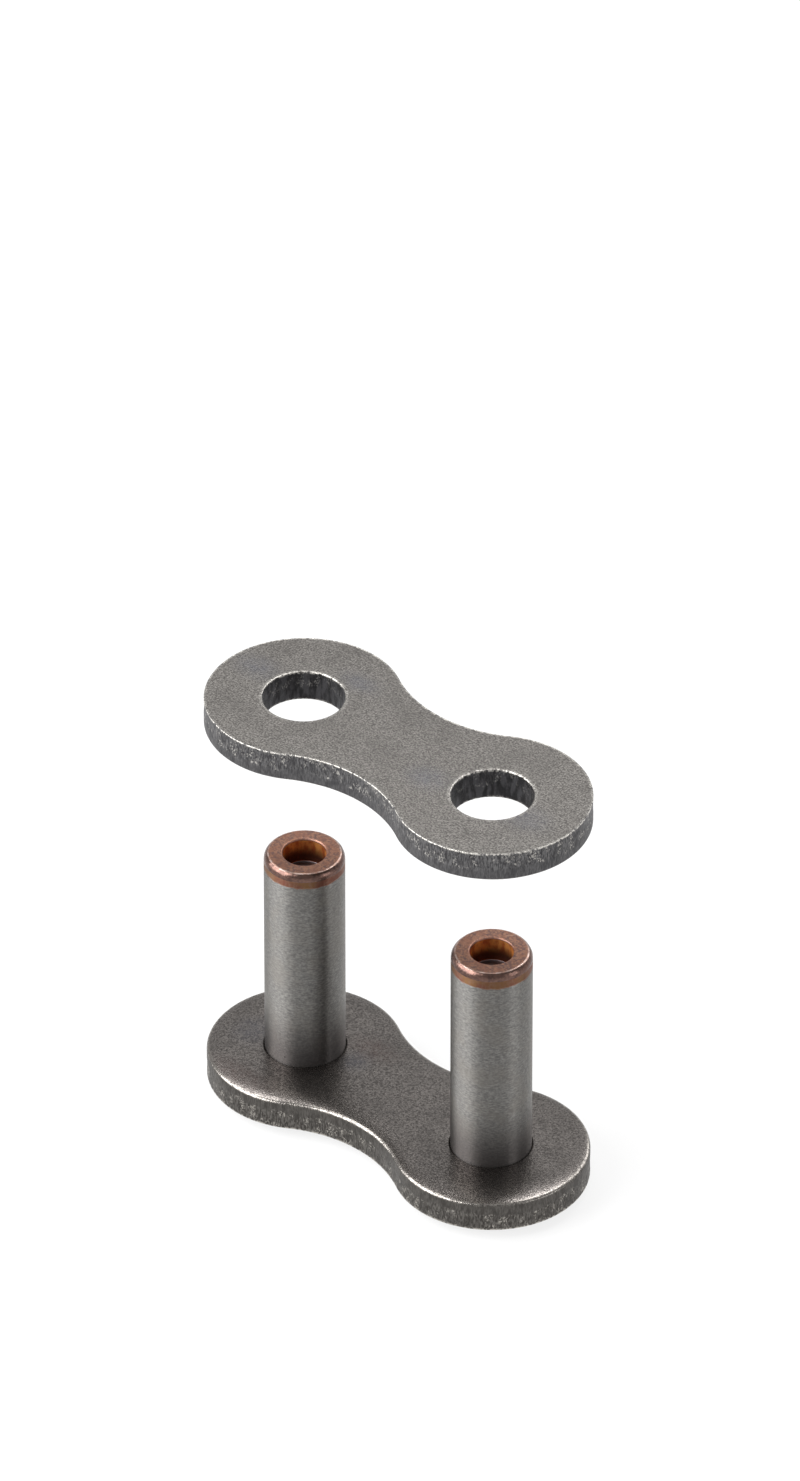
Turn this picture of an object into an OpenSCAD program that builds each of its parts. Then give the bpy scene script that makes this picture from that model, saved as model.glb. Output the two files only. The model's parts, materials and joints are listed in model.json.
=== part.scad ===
// Chain connecting link, shown opened: two pins stand riveted in a base plate, and the
// cover plate is held above their tips, in line with them.
// Sizes are in millimetres. X runs from pin to pin, and Z runs along the pins. The origin
// is midway between the pins, on the surface that the riveted ends stand on.

/* [Chain] */
// Distance between the two pin axes
pitch = 15.875; // [14:0.125:25.4]
// Clear width between the two plates once the cover plate is fitted
inner_width = 11.4; // [6:0.1:16]

/* [Plates] */
// Height of a plate over each of its two round eyes
eye_d = 12.7; // [10:0.1:13.6]
// Height of a plate at its waist
waist_h = 8.25; // [6:0.05:9.6]
// Thickness of the strip that both plates are blanked from
plate_t = 2.2; // [1.2:0.1:3.2]
// Radius that blanking rolls onto one face's outer edge
edge_roll = 0.25; // [0.1:0.05:0.6]
// Radius that piercing rolls onto the same face's hole edges
hole_roll = 0.14; // [0.05:0.01:0.3]

/* [Pins] */
// Diameter of the ground pins
pin_d = 5.22; // [4:0.02:6]
// Length of the pin tips that stands proud of the fitted cover plate
pin_proud = 1.67; // [0.8:0.01:3]
// Rounding of the rim at the pin tips
tip_round = 0.5; // [0.1:0.02:0.6]
// Diameter of the blind hole in each pin tip
recess_d = 2.8; // [2:0.1:3.2]
// Depth of the blind hole in each pin tip
recess_depth = 1.75; // [0.5:0.05:3]
// Rounding of the mouth of that hole
recess_round = 0.12; // [0.05:0.01:0.3]

/* [Riveted ends] */
// How much riveting spreads the pin's radius where it leaves the base plate
seat_spread = 0.06; // [0.02:0.01:0.2]
// Diameter of the upset head below the base plate
head_d = 6; // [6:0.1:8]
// How far the head stands out below the base plate
head_h = 0.75; // [0.5:0.05:1.5]
// Rounding of the head's rim
head_round = 0.45; // [0.2:0.05:0.5]
// Diameter of the punch mark in the head
dimple_d = 2.2; // [1:0.1:3]
// Depth of that punch mark
dimple_depth = 0.3; // [0.1:0.05:0.5]

/* [Cover plate] */
// Radial gap between a pin and its hole in the cover plate
hole_clearance = 0.03; // [0.02:0.01:0.1]
// Gap between the pin tips and the raised cover plate
cover_lift = 10.08; // [1:0.02:30]

/* [Hidden] */
$fn = 96;
eye_r = eye_d / 2;
pin_r = pin_d / 2;
head_r = head_d / 2;
dimple_r = dimple_d / 2;
recess_r = recess_d / 2;
// The waist arcs bite this far into the eyes, so that the arcs of the outline cross cleanly
arc_bite = 0.01;
// A waist arc runs into both eyes, so its radius follows from the pitch, the eyes and the waist
bitten_r = eye_r - arc_bite;
waist_r = (pow(pitch / 2, 2) + pow(waist_h / 2, 2) - pow(bitten_r, 2)) / (2 * bitten_r - waist_h);
waist_y = waist_h / 2 + waist_r;
// Point where the upper waist arc leaves the right eye, on the line between their centres
leave_angle = atan2(waist_y, -pitch / 2);
leave_r = eye_r - arc_bite / 2;
leave = [pitch / 2 + leave_r * cos(leave_angle), leave_r * sin(leave_angle)];
// Heights along the pins
pin_reach = inner_width + plate_t + pin_proud;
seat_h = plate_t - hole_roll;
pin_top_z = head_h + plate_t + pin_reach;
cover_z = pin_top_z + cover_lift;
// Radius of the ball that strikes the punch mark
punch_r = (pow(dimple_r, 2) + pow(dimple_depth, 2)) / (2 * dimple_depth);
// How far cutters reach past the faces that they cut
past = 1;
plate_color = [0.42, 0.40, 0.38];
cover_color = [0.50, 0.49, 0.47];
pin_color = [0.58, 0.57, 0.56];

// Half section of a round disc whose upper rim is rounded
module rounded_rim(r, h, round_r) {
    square([r, h - round_r]);
    square([r - round_r, h]);
    translate([r - round_r, h - round_r]) circle(r = round_r);
}

// Half section of a round cutter that leaves a rounded upper edge round its hole. It
// starts below zero, or at zero for a blind hole, and spread widens it at zero
module flared_cut(r, h, round_r, spread = 0, below = past) {
    straight_h = h - round_r;
    low_r = r + spread * (straight_h + below) / straight_h;
    difference() {
        polygon([
            [0, -below], [low_r, -below], [r, straight_h],
            [r + round_r, straight_h], [r + round_r, h + past], [0, h + past]
        ]);
        translate([r + round_r, straight_h]) circle(r = round_r);
    }
}

// A blanked and pierced plate, lying on its sharp face with its rolled face up: two round
// eyes and the web between them, then both waist arcs and both holes cut through
module link_plate(hole_r, spread) {
    difference() {
        union() {
            for (side = [-1, 1])
                translate([side * pitch / 2, 0, 0])
                    rotate_extrude() rounded_rim(eye_r, plate_t, edge_roll);
            linear_extrude(plate_t) polygon([
                [-pitch / 2, 0], [-leave.x, leave.y], leave,
                [pitch / 2, 0], [leave.x, -leave.y], [-leave.x, -leave.y]
            ]);
        }
        for (side = [-1, 1]) {
            translate([0, side * waist_y, 0])
                rotate_extrude() flared_cut(waist_r, plate_t, edge_roll);
            translate([side * pitch / 2, 0, 0])
                rotate_extrude() flared_cut(hole_r, plate_t, hole_roll, spread);
        }
    }
}

// Half section of a pin: the upset head, the seat that fills the base plate's hole, and
// the ground shank with its rounded, hollow tip
module pin_section() {
    difference() {
        union() {
            translate([0, head_h]) mirror([0, 1]) rounded_rim(head_r, head_h, head_round);
            translate([0, head_h]) polygon([
                [0, 0], [pin_r + seat_spread, 0], [pin_r, seat_h], [0, seat_h]
            ]);
            translate([0, head_h + seat_h])
                rounded_rim(pin_r, plate_t - seat_h + pin_reach, tip_round);
        }
        translate([0, pin_top_z - recess_depth])
            flared_cut(recess_r, recess_depth, recess_round, below = 0);
        translate([0, dimple_depth - punch_r]) circle(r = punch_r);
    }
}

module base_plate() {
    color(plate_color) translate([0, 0, head_h]) link_plate(pin_r, seat_spread);
}

module left_pin() {
    color(pin_color) translate([-pitch / 2, 0, 0]) rotate_extrude() pin_section();
}

module right_pin() {
    color(pin_color) translate([pitch / 2, 0, 0]) rotate_extrude() pin_section();
}

// The same blank turned over, with straight holes that clear the pins
module cover_plate() {
    color(cover_color) translate([0, 0, cover_z + plate_t])
        mirror([0, 0, 1]) link_plate(pin_r + hole_clearance, 0);
}

base_plate();
left_pin();
right_pin();
cover_plate();
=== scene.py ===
# %% [markdown]
# # A chain connecting link
#
# This lesson dresses a small steel part: a rivet-type link that joins the two ends of a roller
# chain. Two ground pins stand riveted in a blanked base plate, and a loose cover plate hangs
# above their copper-plated tips. The real sizes come from a fixed frame, an exact model of the
# part whose pieces already sit where they belong. The script never moves those pieces. It makes
# finer surfaces in the same places, and gives them their finish. That way the looks can change
# as often as they like, and the part still fits its chain.

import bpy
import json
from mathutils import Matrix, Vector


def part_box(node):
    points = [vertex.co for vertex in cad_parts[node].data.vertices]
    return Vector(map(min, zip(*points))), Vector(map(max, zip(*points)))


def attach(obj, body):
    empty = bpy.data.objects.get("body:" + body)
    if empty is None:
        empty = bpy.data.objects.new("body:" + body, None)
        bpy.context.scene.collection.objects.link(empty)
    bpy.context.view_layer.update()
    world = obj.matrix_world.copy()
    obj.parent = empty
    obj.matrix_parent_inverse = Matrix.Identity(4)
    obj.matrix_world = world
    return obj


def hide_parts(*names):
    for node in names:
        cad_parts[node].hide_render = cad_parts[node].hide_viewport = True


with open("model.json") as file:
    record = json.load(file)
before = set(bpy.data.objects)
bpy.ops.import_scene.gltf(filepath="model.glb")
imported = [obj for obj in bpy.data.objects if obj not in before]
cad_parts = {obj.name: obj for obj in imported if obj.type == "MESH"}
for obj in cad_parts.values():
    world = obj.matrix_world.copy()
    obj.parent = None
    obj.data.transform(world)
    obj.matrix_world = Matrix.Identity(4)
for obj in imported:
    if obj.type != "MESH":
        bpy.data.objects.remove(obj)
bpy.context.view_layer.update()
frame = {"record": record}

# %% [markdown]
# ## Sizes
#
# Every mesh below is worked out in millimetres, because a link like this is drawn in
# millimetres, and is turned into metres when it becomes a Blender mesh. All sizes could be typed
# in again, but a copy goes stale when the exact model changes. So the main sizes are read from the
# frame's pieces and its record, and only what neither can tell is written as a number, in the
# cell that first needs it.

# %% Sizes read from the frame
import json
import math

import bmesh
import bpy
import numpy as np
from mathutils import Vector

MM = 0.001


def box_mm(node):
    """The lowest and the highest corner of one of the frame's pieces, in millimetres."""
    low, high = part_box(node)
    return np.array(low) / MM, np.array(high) / MM


base_low, base_high = box_mm("base_plate")
_, cover_high = box_mm("cover_plate")
_, pin_high = box_mm("right_pin")
right_shank = frame["record"]["mounts"][1]
half_pitch = right_shank["pos_m"][0] / MM
pin_r = right_shank["dims"]["r_mm"]
eye_r = base_high[0] - half_pitch
plate_t = base_high[2] - base_low[2]
head_r = pin_high[1]
head_h = base_low[2]
tip_z = pin_high[2]
print(f"pitch {2 * half_pitch:.3f}, eye radius {eye_r:.3f}, plate {plate_t:.2f}, tips at {tip_z:.2f} mm")

# %% [markdown]
# ## The camera
#
# The photograph looks down on the link at 36 degrees, from the right-hand front, and has the link
# in its lower half. A camera close by with a short lens would show the far end of each plate
# smaller than the near one. The photograph doesn't, so the camera stands one metre away with a
# long lens, whose focal length makes a millimetre at the link cover as many pixels as in the
# photograph. Blender lays the sensor's width along the longer side of a picture, which is the
# height here.

# %% Placing and aiming
CAMERA_AZIMUTH = 41.4


def direction(azimuth, elevation):
    """A unit vector from the link: azimuth is measured in degrees to the right of the camera's
    own place, and elevation above the horizon."""
    turn = math.radians(CAMERA_AZIMUTH + azimuth)
    lift = math.radians(elevation)
    return np.array([math.sin(turn) * math.cos(lift), -math.cos(turn) * math.cos(lift), math.sin(lift)])


def into_scene(name, data):
    """A new object that shows a mesh, a lamp or a camera, linked into the scene."""
    thing = bpy.data.objects.new(name, data)
    bpy.context.scene.collection.objects.link(thing)
    return thing


def aim_from(thing, place, target):
    """Puts a camera or a lamp at a place and turns it, as it looks down its own -Z, to a target."""
    thing.location = place * MM
    thing.rotation_euler = Vector(target - place).to_track_quat("-Z", "Y").to_euler()


print("level and towards the camera:", direction(0, 0).round(2))

# %% The camera
IMAGE_H = 1481
CAMERA_ELEVATION = 36.18
CAMERA_DISTANCE = 1000.0
PIXELS_PER_MM = 15.862  # in the photograph, at the link
AIM_RIGHT = 0.191
AIM_ABOVE_BASE = 28.005  # puts the link into the lower half of the picture
AIM = np.array([AIM_RIGHT, 0.0, base_high[2] + AIM_ABOVE_BASE])
camera = into_scene("photo_camera", bpy.data.cameras.new("photo_camera"))
bpy.context.scene.camera = camera
aim_from(camera, AIM + CAMERA_DISTANCE * direction(0, CAMERA_ELEVATION), AIM)
camera.data.sensor_width = 36.0
camera.data.lens = PIXELS_PER_MM * CAMERA_DISTANCE / IMAGE_H * camera.data.sensor_width
camera.data.clip_start = 0.05
camera.data.clip_end = 20
bpy.context.scene.view_settings.view_transform = "Standard"
print(f"camera: {camera.data.lens:.0f} mm lens")

# %% [markdown]
# ## Smooth random heights
#
# Sheared steel is rough, and its edges wander by a few hundredths of a millimetre. For that the
# meshes need random numbers that depend only on a point's place, so that two grids that meet
# along a seam move together. Blender has such noise, but takes one point at a time, which is slow
# for a hundred thousand points. So the classic lattice is written here for whole arrays: each
# corner of a cubic grid gets a number that is scrambled from its own three indices, and a point
# blends its eight corners.

# %% A random number for each corner
PRIMES = np.array([73856093, 19349663, 83492791, 49979687], np.uint64)
SHIFT = np.uint64(15)
STIR = np.uint64(0x2C1B3C6D)
LOW_32 = np.uint64(0xFFFFFFFF)


def corner_number(corner, seed):
    """A random number from -1 to 1 for each lattice corner: its indices and the seed are each
    multiplied by a large prime, combined bit by bit and stirred three times."""
    mixed = np.full(corner.shape[:-1], seed, np.uint64) * PRIMES[3]
    for axis in range(3):
        mixed = mixed ^ (corner[..., axis].astype(np.uint64) * PRIMES[axis] & LOW_32)
    for _ in range(3):
        mixed = ((mixed ^ (mixed >> SHIFT)) * STIR) & LOW_32
    return mixed.astype(float) / float(LOW_32) * 2 - 1


print("the numbers of three corners:", corner_number(np.eye(3), 1).round(2))

# %% Smooth noise between the corners
KEEP_POSITIVE = 1000


def lattice_noise(points, cell, seed):
    """Smooth random heights from -1 to 1: a point's place within its cell is eased by
    3 t squared minus 2 t cubed, and blends the numbers of the cell's eight corners."""
    place = points / np.asarray(cell, float) + KEEP_POSITIVE
    low = np.floor(place)
    ease = place - low
    ease = ease * ease * (3 - 2 * ease)
    total = np.zeros(points.shape[:-1])
    for step in np.ndindex(2, 2, 2):
        share = np.prod(np.where(np.array(step) == 1, ease, 1 - ease), axis=-1)
        total += share * corner_number((low + step).astype(np.int64), seed)
    return total


def smooth_step(low, high, value):
    """0 below low, 1 above high, and an eased curve between them."""
    t = np.clip((value - low) / (high - low), 0, 1)
    return t * t * (3 - 2 * t)


probe = lattice_noise(np.mgrid[0:9:0.3, 0:9:0.3, 0:9:0.3].T, 0.7, 1)
print(f"lattice noise runs from {probe.min():.2f} to {probe.max():.2f}, mean {probe.mean():.3f}")

# %% [markdown]
# ## From grids to a mesh
#
# Each surface below is a grid of points, and a piece is a few such grids that share their border
# points. A plain solid with bevel and displacement modifiers could look similar, but grids put
# small faces exactly where an edge is rounded or torn, and large ones on the flats. `Patches`
# collects the grids, with named values for the materials. At the end it welds the points that
# coincide, which closes every seam, and hands one mesh to Blender.

# %% Facing outwards
def face_outwards(data, name):
    """Turns every face of a closed mesh outwards, and reports edges that are left open."""
    mesh = bmesh.new()
    mesh.from_mesh(data)
    bmesh.ops.recalc_face_normals(mesh, faces=mesh.faces)
    open_edges = sum(not edge.is_manifold for edge in mesh.edges)
    volume = mesh.calc_volume(signed=True) / MM**3
    mesh.to_mesh(data)
    mesh.free()
    print(f"{name}: {len(data.polygons)} faces, {open_edges} open edges, {volume:.1f} cubic mm")
    return data

# %% Collecting and welding grids
WELD = 2e-4


class Patches:
    """Grids of points, in millimetres, that become one closed mesh."""

    def __init__(self):
        self.points, self.quads, self.coats, self.values = [], [], [], []

    def add(self, points, coat=0, **values):
        """Adds a grid of (columns, rows, 3) points. A quad joins each point to its neighbours in
        the next column and row. coat is the number of a quad's material, for the whole grid or for
        each row of quads. A value is one number for each point, row or whole grid."""
        columns, rows = points.shape[:2]
        start = sum(len(p) for p in self.points)
        number = np.arange(columns * rows).reshape(columns, rows) + start
        quads = [number[:-1, :-1], number[1:, :-1], number[1:, 1:], number[:-1, 1:]]
        self.points.append(points.reshape(-1, 3))
        self.quads.append(np.stack(quads, -1).reshape(-1, 4))
        self.coats.append(np.broadcast_to(coat, (columns - 1, rows - 1)).ravel())
        self.values.append({k: np.broadcast_to(v, (columns, rows)).ravel() for k, v in values.items()})

    def mesh(self, name):
        """Welds points that share a tiny cell, leaves out the repeated corner where a quad closes
        on a pole, and gives a Blender mesh in metres whose faces point outwards."""
        points, quads = np.concatenate(self.points), np.concatenate(self.quads)
        cells = np.round(points / WELD).astype(np.int64)
        _, first, back = np.unique(cells, axis=0, return_index=True, return_inverse=True)
        corners = back.reshape(-1)[quads]
        kept = corners != np.roll(corners, 1, axis=1)
        kept &= (kept.sum(1) > 2)[:, None]
        totals = kept.sum(1)[kept.any(1)]
        data = bpy.data.meshes.new(name)
        data.vertices.add(len(first))
        data.vertices.foreach_set("co", (points[first] * MM).ravel())
        data.loops.add(int(totals.sum()))
        data.loops.foreach_set("vertex_index", corners[kept])
        data.polygons.add(len(totals))
        data.polygons.foreach_set("loop_start", np.cumsum(totals) - totals)
        data.update(calc_edges=True)
        data.polygons.foreach_set("use_smooth", [True] * len(totals))
        coats = np.concatenate(self.coats)[kept.any(1)]
        data.polygons.foreach_set("material_index", coats.astype(np.int32))
        self.store_values(data, first, quads[kept])
        return face_outwards(data, name)

    def store_values(self, data, first, corners):
        """Stores u and v as the mesh's map, at the corners of its faces, and every other value as
        an attribute of its points."""
        columns = {key: np.concatenate([v[key] for v in self.values]) for key in self.values[0]}
        if "u" in columns:
            places = np.stack([columns.pop("u"), columns.pop("v")], -1)[corners]
            layer = data.uv_layers.new(name="UVMap")
            layer.data.foreach_set("uv", places.ravel().astype(np.float32))
        for key, column in columns.items():
            layer = data.attributes.new(key, "FLOAT", "POINT")
            layer.data.foreach_set("value", column[first].astype(np.float32))


print(f"points that share a cell {WELD} mm wide become one")

# %% [markdown]
# ## The outline of a link plate
#
# A link plate is blanked from strip by a punch. Its outline has only two kinds of arc: a round
# eye at each end, and a waist arc on each side that runs into both eyes without a corner. It
# could be traced by hand as a curve, but arcs that are worked out from the pitch, the eye and the
# waist meet exactly, and follow when a size changes. Half of it is enough, because the other half
# is its mirror image. A point is found from how far it lies along the outline: first the lower
# waist arc, then the eye, then the upper waist arc.

# %% Half an outline
waist_half = 4.125  # from the middle line to the narrowest place of the waist
waist_r = (half_pitch**2 + waist_half**2 - eye_r**2) / (2 * (eye_r - waist_half))
waist_y = waist_half + waist_r
blend_angle = math.atan2(half_pitch, waist_y)
waist_len = waist_r * blend_angle
half_len = 2 * waist_len + eye_r * (math.pi + 2 * blend_angle)
print(f"waist arcs have a radius of {waist_r:.2f} mm")


def outline(along):
    """Points and outward normals of the right-hand half, for distances along it. On a waist arc
    the angle is distance over waist radius, and the normal points to the arc's centre. On the
    eye the angle is distance over eye radius, and the normal points away from its centre."""
    side = np.where(along < half_len / 2, -1.0, 1.0)
    from_end = np.minimum(along, half_len - along)
    lean = from_end / waist_r
    waist_out = np.stack([-np.sin(lean), side * np.cos(lean)], -1)
    waist = waist_out * -waist_r + np.stack([0 * side, side * waist_y], -1)
    turn = (along - half_len / 2) / eye_r
    eye_out = np.stack([np.cos(turn), np.sin(turn)], -1)
    eye = eye_out * eye_r + [half_pitch, 0]
    on_waist = (from_end < waist_len)[:, None]
    return np.where(on_waist, waist, eye), np.where(on_waist, waist_out, eye_out)


marks, _ = outline(np.array([0.0, half_len / 2, half_len]))
print(f"half an outline: {half_len:.2f} mm, from {marks[0]} past {marks[1]} to {marks[2]}")

# %% [markdown]
# ## The section of a blanked edge
#
# A punch leaves the same four zones on every blanked edge. The face that enters the die first is
# drawn over in a soft roll. Next to the roll the wall is burnished smooth by the die. Then the
# steel tears, which leaves a rough fracture zone, and the other face keeps a sharp edge, worn to
# a thin bright line by tumbling. A bevel would round both edges alike, so the section is drawn
# point by point instead, each a distance in from the outline and a height above the sharp face.

# %% The rolled edge
BAND = 1.6  # how far in from the outline the section reaches
edge_roll = 0.25  # radius of the rolled edge round the outline
SOFT_DROP = 0.17  # how deep the soft roll sinks at the edge
SOFT_REACH = 0.6  # how far in it has flattened out to about a third
ROLL_ROWS = 12
CORNER_ROWS = 8


def rolled_edge():
    """From the face to the wall: the face first sinks along an exponential curve, and then turns
    over a round corner that starts at the curve's own slope."""
    start = math.atan(SOFT_DROP / SOFT_REACH)
    corner_in = edge_roll * (1 - math.sin(start))
    reach = corner_in + (BAND - corner_in) * np.linspace(1, 0, ROLL_ROWS) ** 1.5
    rest = math.exp(-(BAND - corner_in) / SOFT_REACH)
    sunk = SOFT_DROP * (np.exp(-(reach - corner_in) / SOFT_REACH) - rest)
    soft = np.stack([reach, plate_t - sunk], -1)
    turn = np.linspace(start, math.pi / 2, CORNER_ROWS + 1)[1:]
    hub = soft[-1, 1] - edge_roll * math.cos(start)
    corner = np.stack([edge_roll * (1 - np.sin(turn)), hub + edge_roll * np.cos(turn)], -1)
    return np.concatenate([soft, corner])


roll_depth = plate_t - rolled_edge()[-1, 1]
print(f"the rolled edge is {roll_depth:.2f} mm deep")

# %% The whole section
WORN_EDGE = 0.055  # radius that tumbling gave the sharp edge
WALL_ROWS = 22


def sharp_edge():
    """From the wall to the face: a very small round corner, and the flat beyond it."""
    turn = np.linspace(0, math.pi / 2, 5)
    corner = WORN_EDGE * np.stack([1 - np.cos(turn), 1 - np.sin(turn)], -1)
    flat_in = np.array([0.07, 0.1, 0.15, 0.25, 0.5, 0.9, BAND])
    return np.concatenate([corner, np.stack([flat_in, 0 * flat_in], -1)])


def edge_section():
    """The whole section, from the inside of the rolled face to the inside of the sharp face."""
    rolled, sharp = rolled_edge(), sharp_edge()
    heights = np.linspace(rolled[-1, 1], sharp[0, 1], WALL_ROWS + 2)[1:-1]
    return np.concatenate([rolled, np.stack([0 * heights, heights], -1), sharp])


section = edge_section()
print(f"the edge section has {len(section)} points")

# %% [markdown]
# ## How torn and how worn
#
# The materials need to know where the steel is torn, where it is a wall and where an edge is
# worn. These could be painted on by hand, but all three follow from a point's place in the
# section, so they are worked out here once and stored with each point. The torn zone is also
# truly rough: it moves the mesh itself, because its outline shows against the background.

# %% Where the steel is torn
BREAK_LINE = 0.56  # where the torn zone ends, as a share of the thickness
BREAK_WANDER = 0.09  # how far that line wanders, as a share too
BREAK_BLUR = 0.08  # how softly the torn zone ends


def torn_share(points, height):
    """1 in the fracture zone and 0 above it: the steel began to tear at a share of the
    thickness above the sharp face, along a line that wanders."""
    spot = points * [1, 1, 0]
    wander = lattice_noise(spot, 1.4, 11) + 0.5 * lattice_noise(spot, 0.35, 12)
    line = plate_t * (BREAK_LINE + BREAK_WANDER * wander)
    return 1 - smooth_step(line - BREAK_BLUR, line + BREAK_BLUR, height)


print(f"the steel tears from about {BREAK_LINE * plate_t:.2f} mm above the sharp face downwards")

# %% How rough a wall is
TEAR_DEPTH = 0.022  # how far torn steel sits back
TEAR_ROUGH = 0.022  # height of its lumps
SHEAR_LINES = 0.005  # depth of the lines on burnished steel


def wall_inset(points, height, torn):
    """How far a wall lies inside its true surface: torn steel sits back by a base depth plus
    fine lumps, except at its sharp lip, and burnished steel has upright shear lines."""
    lip = smooth_step(0.02, 0.12, height)
    lumps = 0.6 * lattice_noise(points, [0.17, 0.17, 0.3], 13)
    lumps += 0.4 * lattice_noise(points, [0.09, 0.09, 0.14], 14)
    lines = 0.5 + 0.5 * lattice_noise(points, [0.13, 0.13, 3.0], 15)
    return torn * lip * (TEAR_DEPTH + TEAR_ROUGH * lumps) + (1 - torn) * SHEAR_LINES * lines


print(f"torn steel sits back by up to {TEAR_DEPTH + TEAR_ROUGH:.3f} mm")

# %% Worn edges and dents
WEAR_WIDTH = 0.1  # reach of the bright line on a sharp edge
DENT_DEPTH = 0.004


def edge_wear(inward, height, roll):
    """1 on the crest of the sharp edge, about a half on the crest of the rolled one, and falling
    off with the square of the distance from either crest."""
    sharp = np.hypot(inward - 0.045, height - 0.01) / WEAR_WIDTH
    crest = np.hypot(inward - 0.35 * roll, plate_t - 0.5 * roll - height) / (0.75 * roll)
    return np.exp(-(sharp**2)) + 0.55 * np.exp(-(crest**2))


def dent(points, height):
    """How far a point moves up or down, towards the plate's middle, for shallow tumbling dents:
    up to twice DENT_DEPTH on a face, and nothing in the middle of a wall."""
    near_face = 1 - smooth_step(0.2, 0.5, np.minimum(height, plate_t - height))
    lows = 0.7 * lattice_noise(points, 1.1, 16) + 0.3 * lattice_noise(points, 0.45, 17)
    toward_middle = np.where(height > plate_t / 2, -1.0, 1.0)
    return toward_middle * near_face * DENT_DEPTH * (1 + lows)


print(f"dents are up to {2 * DENT_DEPTH:.3f} mm deep")

# %% [markdown]
# ## A plate from polar grids
#
# A plate with two holes could be cut with Boolean modifiers, which leave long thin triangles
# that shade badly. Grids need no cutting. Half a plate, seen from its own hole, hides nothing of
# its border, so straight spokes from the hole to the border cover a face without crossing. The
# border is the blanked edge, plus the straight cut at x = 0 where both halves meet. One grid
# sweeps the edge section along the outline, two fill the faces between the edge and the hole, and
# a fourth is the hole's wall.

# %% Adding one grid
def lay(flat, height):
    """Joins (columns, rows, 2) places and their heights into (columns, rows, 3) points."""
    return np.concatenate([flat, np.broadcast_to(height, flat.shape[:2])[..., None]], -1)


def finish_grid(plate, points, inset_dir, roll, inward, wall, bore=0.0):
    """Moves the torn and dented points of a grid, and adds it with its values: the wall moves
    along inset_dir by its inset, and the faces sink by their dents. bore is 1 in a hole."""
    height = points[..., 2]
    torn = torn_share(points, height) * wall
    moved = points.copy()
    moved[..., :2] += inset_dir * (wall_inset(points, height, torn) * wall)[..., None]
    moved[..., 2] += dent(points, height)
    plate.add(moved, torn=torn, wall=wall, wear=edge_wear(inward, height, roll), bore=bore)

# %% The grid of the edge
EDGE_COLUMNS = 430
WALL_FADE = 0.13


def edge_grid(plate, mirror):
    """Sweeps the edge section along half an outline: a point lies on the outline, moved in along
    the normal by the section's distance, at the section's height."""
    spots, normals = outline(np.linspace(0, half_len, EDGE_COLUMNS + 1))
    inward, height = section.T
    flat = spots[:, None] - normals[:, None] * inward[:, None]
    side = np.array([mirror, 1.0])
    wall = np.broadcast_to(1 - smooth_step(0.0, WALL_FADE, inward), flat.shape[:2])
    finish_grid(plate, lay(flat * side, height), -normals[:, None] * side, edge_roll, inward, wall)
    return flat[:, 0]

# %% The grids of the faces
CUT_COLUMNS = 44
FACE_ROWS = 14
LIP_RUB = 0.6


def spoke_ring(rim):
    """The border of one face, closed by the cut at x = 0, and the direction of each of its
    points from the hole's centre."""
    cut_y = np.linspace(rim[-1, 1], rim[0, 1], CUT_COLUMNS + 1)[1:]
    border = np.concatenate([rim, np.stack([0 * cut_y, cut_y], -1)])
    spoke = border - [half_pitch, 0]
    return border, spoke / np.linalg.norm(spoke, axis=1, keepdims=True)


def face_grid(plate, mirror, border, spoke, lip_r, height, lip, roll):
    """Fills a face with straight spokes: each row is a share of the way from the border to a
    circle round the hole, with rows closer together at the hole. Wear counts the distance from
    the hole as a little less than it is, because stones rub a lip further in than an edge."""
    share = (1 - np.linspace(1, 0, FACE_ROWS + 1) ** 1.4)[None, :, None]
    lip_points = spoke * lip_r + [half_pitch, 0]
    flat = border[:, None] * (1 - share) + lip_points[:, None] * share
    from_hole = LIP_RUB * (np.linalg.norm(flat - [half_pitch, 0], axis=-1) - lip_r) + lip
    side = np.array([mirror, 1.0])
    nowhere = np.zeros(flat.shape[:2])
    finish_grid(plate, lay(flat * side, height), 0 * flat, roll, from_hole, nowhere)

# %% The grid of a hole
hole_roll = 0.14  # radius of the rolled lip round a hole
WORN_LIP = 0.08  # radius that tumbling gave the sharp lip of a hole
HOLE_ROWS = 12


def hole_section(spread):
    """The hole's wall as distances out from its nominal radius and heights, from the rolled lip
    over the wall to the sharp lip. spread widens the hole towards the sharp face."""
    turn = np.linspace(0, math.pi / 2, 6)
    lip = np.stack([hole_roll * (1 - np.sin(turn)), plate_t - hole_roll * (1 - np.cos(turn))], -1)
    heights = np.linspace(plate_t - hole_roll, WORN_LIP, HOLE_ROWS + 1)[1:]
    taper = spread * (1 - heights / (plate_t - hole_roll))
    wall = np.stack([taper, heights], -1)
    edge = np.stack([spread + WORN_LIP * (1 - np.cos(turn)), WORN_LIP * (1 - np.sin(turn))], -1)[1:]
    return np.concatenate([lip, wall, edge])


def hole_grid(plate, mirror, spoke, hole_r, spread, rough):
    """Turns the hole section about the hole's centre: a point lies out along its spoke by the
    hole's radius plus the section's distance."""
    out, height = hole_section(spread).T
    flat = spoke[:, None] * (hole_r + out)[:, None] + [half_pitch, 0]
    side = np.array([mirror, 1.0])
    upright = (1 - smooth_step(0, 0.4 * WORN_LIP, out)) * rough
    wall = np.broadcast_to(upright, flat.shape[:2])
    finish_grid(plate, lay(flat * side, height), spoke[:, None] * side, hole_roll, out, wall, wall)


print(f"half a plate: {EDGE_COLUMNS} columns round the edge, and {FACE_ROWS} rows to the hole")

# %% [markdown]
# ## Both plates
#
# Both plates are the same blank, so one function makes both, as one tool does at the maker's.
# The base plate lies with its rolled face up, and the cover plate is turned over, so its sharp
# edge faces up. Only the holes differ: the base plate's are filled by the riveted pins, so their
# walls stay smooth there.

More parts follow.
